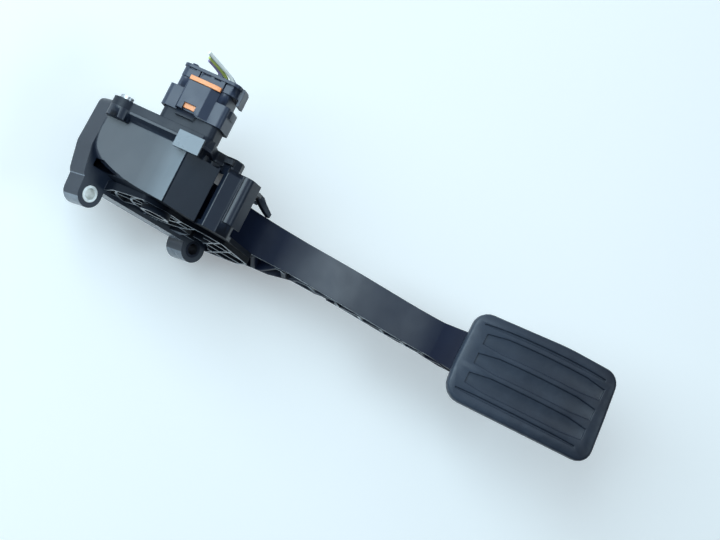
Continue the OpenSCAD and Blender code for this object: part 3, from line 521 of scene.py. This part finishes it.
def worked_metal(name, colour, rough):
    made, tree, shader, place = new_material(name)
    shader.inputs["Metallic"].default_value = 1
    dull = [c * DULL_SHARE for c in colour]
    spotted = blend_colour(tree, patches(tree, place, SPOT_SCALE, detail=4), dull, colour)
    tree.links.new(spotted, shader.inputs["Base Color"])
    worn = patches(tree, place, MARK_SCALE, detail=5, low=rough - METAL_SMOOTHER, high=rough + METAL_ROUGHER)
    tree.links.new(worn, shader.inputs["Roughness"])
    marks = bump(tree, noise(tree, place, MARK_SCALE * 2, detail=2), MARK_STRENGTH, MARK_DEPTH)
    tree.links.new(marks, shader.inputs["Normal"])
    return made


BUSH = worked_metal("plated_bush_steel", (0.86, 0.88, 0.86), 0.40)
# Painted shade: the lower and side bushes take a much darker copy of the bush steel.
SHADED_BUSH = worked_metal("painted_shade_bush_steel", (0.035, 0.04, 0.055), 0.55)
SCREW = worked_metal("plated_screw_steel", (0.55, 0.57, 0.60), 0.42)
SPRING = worked_metal("oiled_spring_steel", (0.30, 0.30, 0.31), 0.35)
AXLE = worked_metal("ground_axle_steel", (0.58, 0.58, 0.59), 0.25)
PIN = worked_metal("tinned_brass", (0.66, 0.58, 0.38), 0.3)

# %% [markdown]
# Wire insulation is a soft plastic with a faint waxy gloss. Its colour is nearly even,
# so the noise moves it by little, and the bump is very small.

# %% Wire insulation
PALER_SHARE = 1.12
INSULATION_SMOOTHEST = 0.36
INSULATION_ROUGHEST = 0.5
INSULATION_BUMP = 0.15
INSULATION_DEPTH = 0.03 * MM
WIRE_COLOURS = {
    "grey_wire": (0.42, 0.45, 0.48), "white_wire": (0.86, 0.88, 0.84),
    "green_wire": (0.55, 0.62, 0.16), "violet_wire": (0.28, 0.22, 0.40),
}


def insulation(name, colour):
    made, tree, shader, place = new_material(name)
    paler = [min(1, c * PALER_SHARE) for c in colour]
    nearly_even = blend_colour(tree, patches(tree, place, scale=220, detail=3), colour, paler)
    tree.links.new(nearly_even, shader.inputs["Base Color"])
    waxy = patches(tree, place, scale=400, detail=3, low=INSULATION_SMOOTHEST, high=INSULATION_ROUGHEST)
    tree.links.new(waxy, shader.inputs["Roughness"])
    skin = bump(tree, noise(tree, place, scale=900, detail=2), INSULATION_BUMP, INSULATION_DEPTH)
    tree.links.new(skin, shader.inputs["Normal"])
    return made


INSULATION = {name: insulation(name + "_plastic", colour) for name, colour in WIRE_COLOURS.items()}

# %% [markdown]
# Now each piece gets its finish. A solid that stays in view takes it in its own slots.
# A rounded copy or a wire takes it as its only one, and so does the solid that it stands for.

# %% Put the finishes on
FINISH_OF_SOLID = {
    "upper_bush": BUSH, "lower_bush": SHADED_BUSH, "side_bush": SHADED_BUSH, "cover_seal": SEAL,
    "circuit_board": BOARD, "terminal_pins": PIN, "pivot_axle": AXLE, "axle_clip": AXLE,
    "sensor_magnet": MAGNET, "spring_cup": PALE, "spring_seat": PALE, "rest_bumper": BUMPER,
    "stop_bumper": BUMPER, "plug_core": PLUG, "plug_seal": RUST_SEAL, "orange_retainer": ORANGE,
}
FINISH_OF_COPY = {
    "housing": HOUSING, "sensor_cover": COVER, "plug_body": PLUG, "plug_cap": PLUG, "pedal_arm": ARM,
    "pedal_pad": PAD, "orange_lock": ORANGE, "cover_screws": SCREW, "outer_spring": SPRING,
    "inner_spring": SPRING,
}


def finish_with(piece, made):
    piece.data.materials.clear()
    piece.data.materials.append(made)


def dress_solid(node, made):
    for slot in frame["nodes"][node].material_slots:
        slot.material = made


def dress_new_piece(piece, node, made):
    finish_with(piece, made)
    dress_solid(node, made)


for node, made in FINISH_OF_SOLID.items():
    dress_solid(node, made)
for node, made in FINISH_OF_COPY.items():
    dress_new_piece(rounded[node], node, made)
for node, piece in wires.items():
    dress_new_piece(piece, node, INSULATION[node])
print("pieces with a finish:", len(FINISH_OF_SOLID) + len(FINISH_OF_COPY) + len(wires))

# %% [markdown]
# A moulding doesn't look the same all over. The front of the nose gets a painted sheen, paler towards its
# lower end, the outer edges of the ribs and of the arm get painted glints, the walls deep between the ribs
# stay dull and get painted shade, and the snap tab of the cover is smoother and gets a painted highlight.
# Such places could be painted in by hand. Here the faces are found by their place in millimetres and by the
# way they face, and get a second material.

# %% Faces with a finish of their own
NOSE_NORMAL = Vector((0, -math.cos(NOSE_SLOPE), math.sin(NOSE_SLOPE)))
ON_THE_SLOPE = 0.98
NOSE_X = (-16, 15)
NOSE_Y = (-50, -20)
NOSE_LOWEST_Z = -12
POCKET_X = -14.6
POCKET_Y = -17.5
RIB_EDGE_X = -18.2
RIB_EDGE_FACING = -0.6
ARM_EDGE_X = -12.5
ARM_EDGE_Z = (-205, -60)
ARM_EDGE_FACING = -0.9
ARM_FACE_DEPTH = 1.5
ARM_FRONT = [(-66, -37), (-98, -43.5), (-128, -50), (-156, -53.2), (-181, -56.5), (-205, -64)]
TAB_X = (13, 24)
TAB_DOWN_THE_SLOPE = (22, 42)
TAB_OUT_OF_THE_SLOPE = 58.5


def within(value, limits):
    return limits[0] < value < limits[1]


def front_of_the_nose(centre, normal):
    return (normal.dot(NOSE_NORMAL) > ON_THE_SLOPE and within(centre.x, NOSE_X) and within(centre.y, NOSE_Y)
            and centre.z > NOSE_LOWEST_Z)


def walls_between_ribs(centre, normal):
    return centre.x < POCKET_X and centre.y < POCKET_Y


def edges_of_ribs(centre, normal):
    return centre.x < RIB_EDGE_X and normal.x < RIB_EDGE_FACING


def arm_front_y(z):
    """Place of the arm's front face at a height, read off between known places."""
    for (z0, y0), (z1, y1) in zip(ARM_FRONT, ARM_FRONT[1:]):
        if z >= z1:
            return y0 + (y1 - y0) * (z - z0) / (z1 - z0)
    return ARM_FRONT[-1][1]


def edges_of_the_arm(centre, normal):
    """The outer edges of the ribs behind the front face of the arm."""
    return (within(centre.z, ARM_EDGE_Z) and normal.x < ARM_EDGE_FACING and centre.x < ARM_EDGE_X
            and centre.y > arm_front_y(centre.z) + ARM_FACE_DEPTH)


def top_of_the_tab(centre, normal):
    return (within(centre.x, TAB_X) and normal.dot(NOSE_NORMAL) > ON_THE_SLOPE
            and within(centre.dot(DOWN_THE_NOSE), TAB_DOWN_THE_SLOPE)
            and centre.dot(NOSE_NORMAL) > TAB_OUT_OF_THE_SLOPE)


def second_finish(piece, made, chosen):
    """Gives the faces that chosen(centre in mm, normal) picks a finish of their own."""
    piece.data.materials.append(made)
    picked = [face for face in piece.data.polygons if chosen(face.center / MM, face.normal)]
    for face in picked:
        face.material_index = len(piece.data.materials) - 1
    print(piece.name, "shows", made.name, "on", len(picked), "faces")


second_finish(rounded["housing"], HOOD, front_of_the_nose)
second_finish(rounded["housing"], POCKET, walls_between_ribs)
second_finish(rounded["housing"], RIB_EDGE, edges_of_ribs)
second_finish(rounded["pedal_arm"], GLINT_EDGE, edges_of_the_arm)
second_finish(rounded["sensor_cover"], TAB, top_of_the_tab)

# %% [markdown]
# The part lies on a white table, and one large plane behind it stands for that. It
# must also clear the pedal at full travel, so its place is measured from the corners
# of the solids, with the pedal turned about its hinge as well. It comes forward
# towards its lower end, and this keeps it near the pad.

# %% Place of the table
TABLE_NORMAL = Vector((0, -0.98, 0.2)).normalized()
TABLE_SIZE = 6
TABLE_GAP = 0.5 * MM
PART_MIDDLE = Vector((0, 0, -0.1))

hinge = next(joint for joint in frame["joints"] if joint["name"] == "pedal_hinge")
pivot = Vector(hinge["pos_m"])
full_travel = Matrix.Rotation(math.radians(hinge["range_deg"][1]), 4, Vector(hinge["axis"]))
pressed = Matrix.Translation(pivot) @ full_travel @ Matrix.Translation(-pivot)
corners = [v.co for solid in frame["nodes"].values() for v in solid.data.vertices]
for node in ("pedal_arm", "pedal_pad"):
    corners += [pressed @ v.co for v in frame["nodes"][node].data.vertices]
lowest = min(TABLE_NORMAL.dot(corner) for corner in corners)

bpy.ops.object.select_all(action="DESELECT")
bpy.ops.mesh.primitive_plane_add(size=TABLE_SIZE)
table = bpy.context.active_object
table.name = "table"
beside_the_middle = PART_MIDDLE - TABLE_NORMAL * TABLE_NORMAL.dot(PART_MIDDLE)
table.matrix_world = (Matrix.Translation(TABLE_NORMAL * (lowest - TABLE_GAP) + beside_the_middle)
                      @ TABLE_NORMAL.to_track_quat("Z", "Y").to_matrix().to_4x4())
print("the table passes", round((TABLE_GAP - lowest) / MM, 1), "mm behind the origin")

# %% [markdown]
# The table shows as the pale ground of the picture. More light would whiten it, but
# would bleach the part too. So it glows a little, for the camera and for reflections
# only, and keeps the shadow. From behind it is clear, so that the back of the part can
# be looked at.

# %% Finish of the table
TABLE_WHITE = ((0.92, 0.94, 0.945), (0.935, 0.95, 0.955))
TABLE_ROUGH = 0.7
TABLE_GLOW = 0.17

white, tree, shader, place = new_material("white_table")
clouded = blend_colour(tree, patches(tree, place, scale=3, detail=2), *TABLE_WHITE)
tree.links.new(clouded, shader.inputs["Base Color"])
shader.inputs["Roughness"].default_value = TABLE_ROUGH
path = tree.nodes.new("ShaderNodeLightPath")
seen = path.outputs["Is Camera Ray"]
for kind in ("Is Glossy Ray", "Is Transmission Ray"):
    either = tree.nodes.new("ShaderNodeMath")
    either.operation = "MAXIMUM"
    tree.links.new(seen, either.inputs[0])
    tree.links.new(path.outputs[kind], either.inputs[1])
    seen = either.outputs["Value"]
glow = tree.nodes.new("ShaderNodeMath")
glow.operation = "MULTIPLY"
glow.inputs[1].default_value = TABLE_GLOW
tree.links.new(seen, glow.inputs[0])
tree.links.new(glow.outputs["Value"], shader.inputs["Emission Strength"])
shader.inputs["Emission Color"].default_value = (1, 1, 1, 1)
from_behind = tree.nodes.new("ShaderNodeNewGeometry").outputs["Backfacing"]
clear = tree.nodes.new("ShaderNodeBsdfTransparent")
either_side = tree.nodes.new("ShaderNodeMixShader")
tree.links.new(from_behind, either_side.inputs[0])
tree.links.new(shader.outputs["BSDF"], either_side.inputs[1])
tree.links.new(clear.outputs["BSDF"], either_side.inputs[2])
tree.links.new(either_side.outputs["Shader"], tree.nodes["Material Output"].inputs["Surface"])
finish_with(table, white)

# %% [markdown]
# Black plastic is seen by what it reflects, so the lamps are large round panels. One
# stands over the nose, one beyond the upper edge of the picture, and a small one
# brings out the front of the arm. Two of them and the room are a little cool, and the
# panel above the picture is a little warm. Standard view keeps colours as written.

# %% Light
LIT_POINT = Vector((0, -0.05, -0.1))
OVER_THE_NOSE = Vector((0.12, -0.45, 0.89))
UP_IN_THE_PICTURE = UP * 0.72 + RIGHT * 0.16 + BACK * 0.85
ALONG_THE_ARM = Vector((0.12, -0.95, -0.28))
COOL = (0.70, 0.90, 1.0)
COOL_ON_THE_ARM = (0.72, 0.90, 1.0)
WARM = (1.0, 0.95, 0.90)
ROOM_COLOUR = (0.66, 0.84, 1.0)
ROOM_STRENGTH = 0.17


def softbox(name, direction, distance, size, power, colour):
    """A round panel that stands in a direction from the lit point and faces it."""
    data = bpy.data.lights.new(name, "AREA")
    data.shape = "DISK"
    data.size = size
    data.energy = power
    data.color = colour
    lamp = bpy.data.objects.new(name, data)
    bpy.context.scene.collection.objects.link(lamp)
    place = LIT_POINT + direction.normalized() * distance
    facing = (place - LIT_POINT).to_track_quat("Z", "Y").to_matrix().to_4x4()
    lamp.matrix_world = Matrix.Translation(place) @ facing
    print(name, "stands at", [round(v, 2) for v in place])


softbox("over_the_nose", OVER_THE_NOSE, distance=2.2, size=2.0, power=55, colour=COOL)
softbox("from_above_in_the_picture", UP_IN_THE_PICTURE, distance=1.8, size=3.0, power=9.0, colour=WARM)
softbox("along_the_arm", ALONG_THE_ARM, distance=1.4, size=0.6, power=3.0, colour=COOL_ON_THE_ARM)
world = bpy.data.worlds.new("room")
bpy.context.scene.world = world
world.use_nodes = True
room = world.node_tree.nodes["Background"]
room.inputs["Color"].default_value = (*ROOM_COLOUR, 1)
room.inputs["Strength"].default_value = ROOM_STRENGTH
bpy.context.scene.view_settings.view_transform = "Standard"
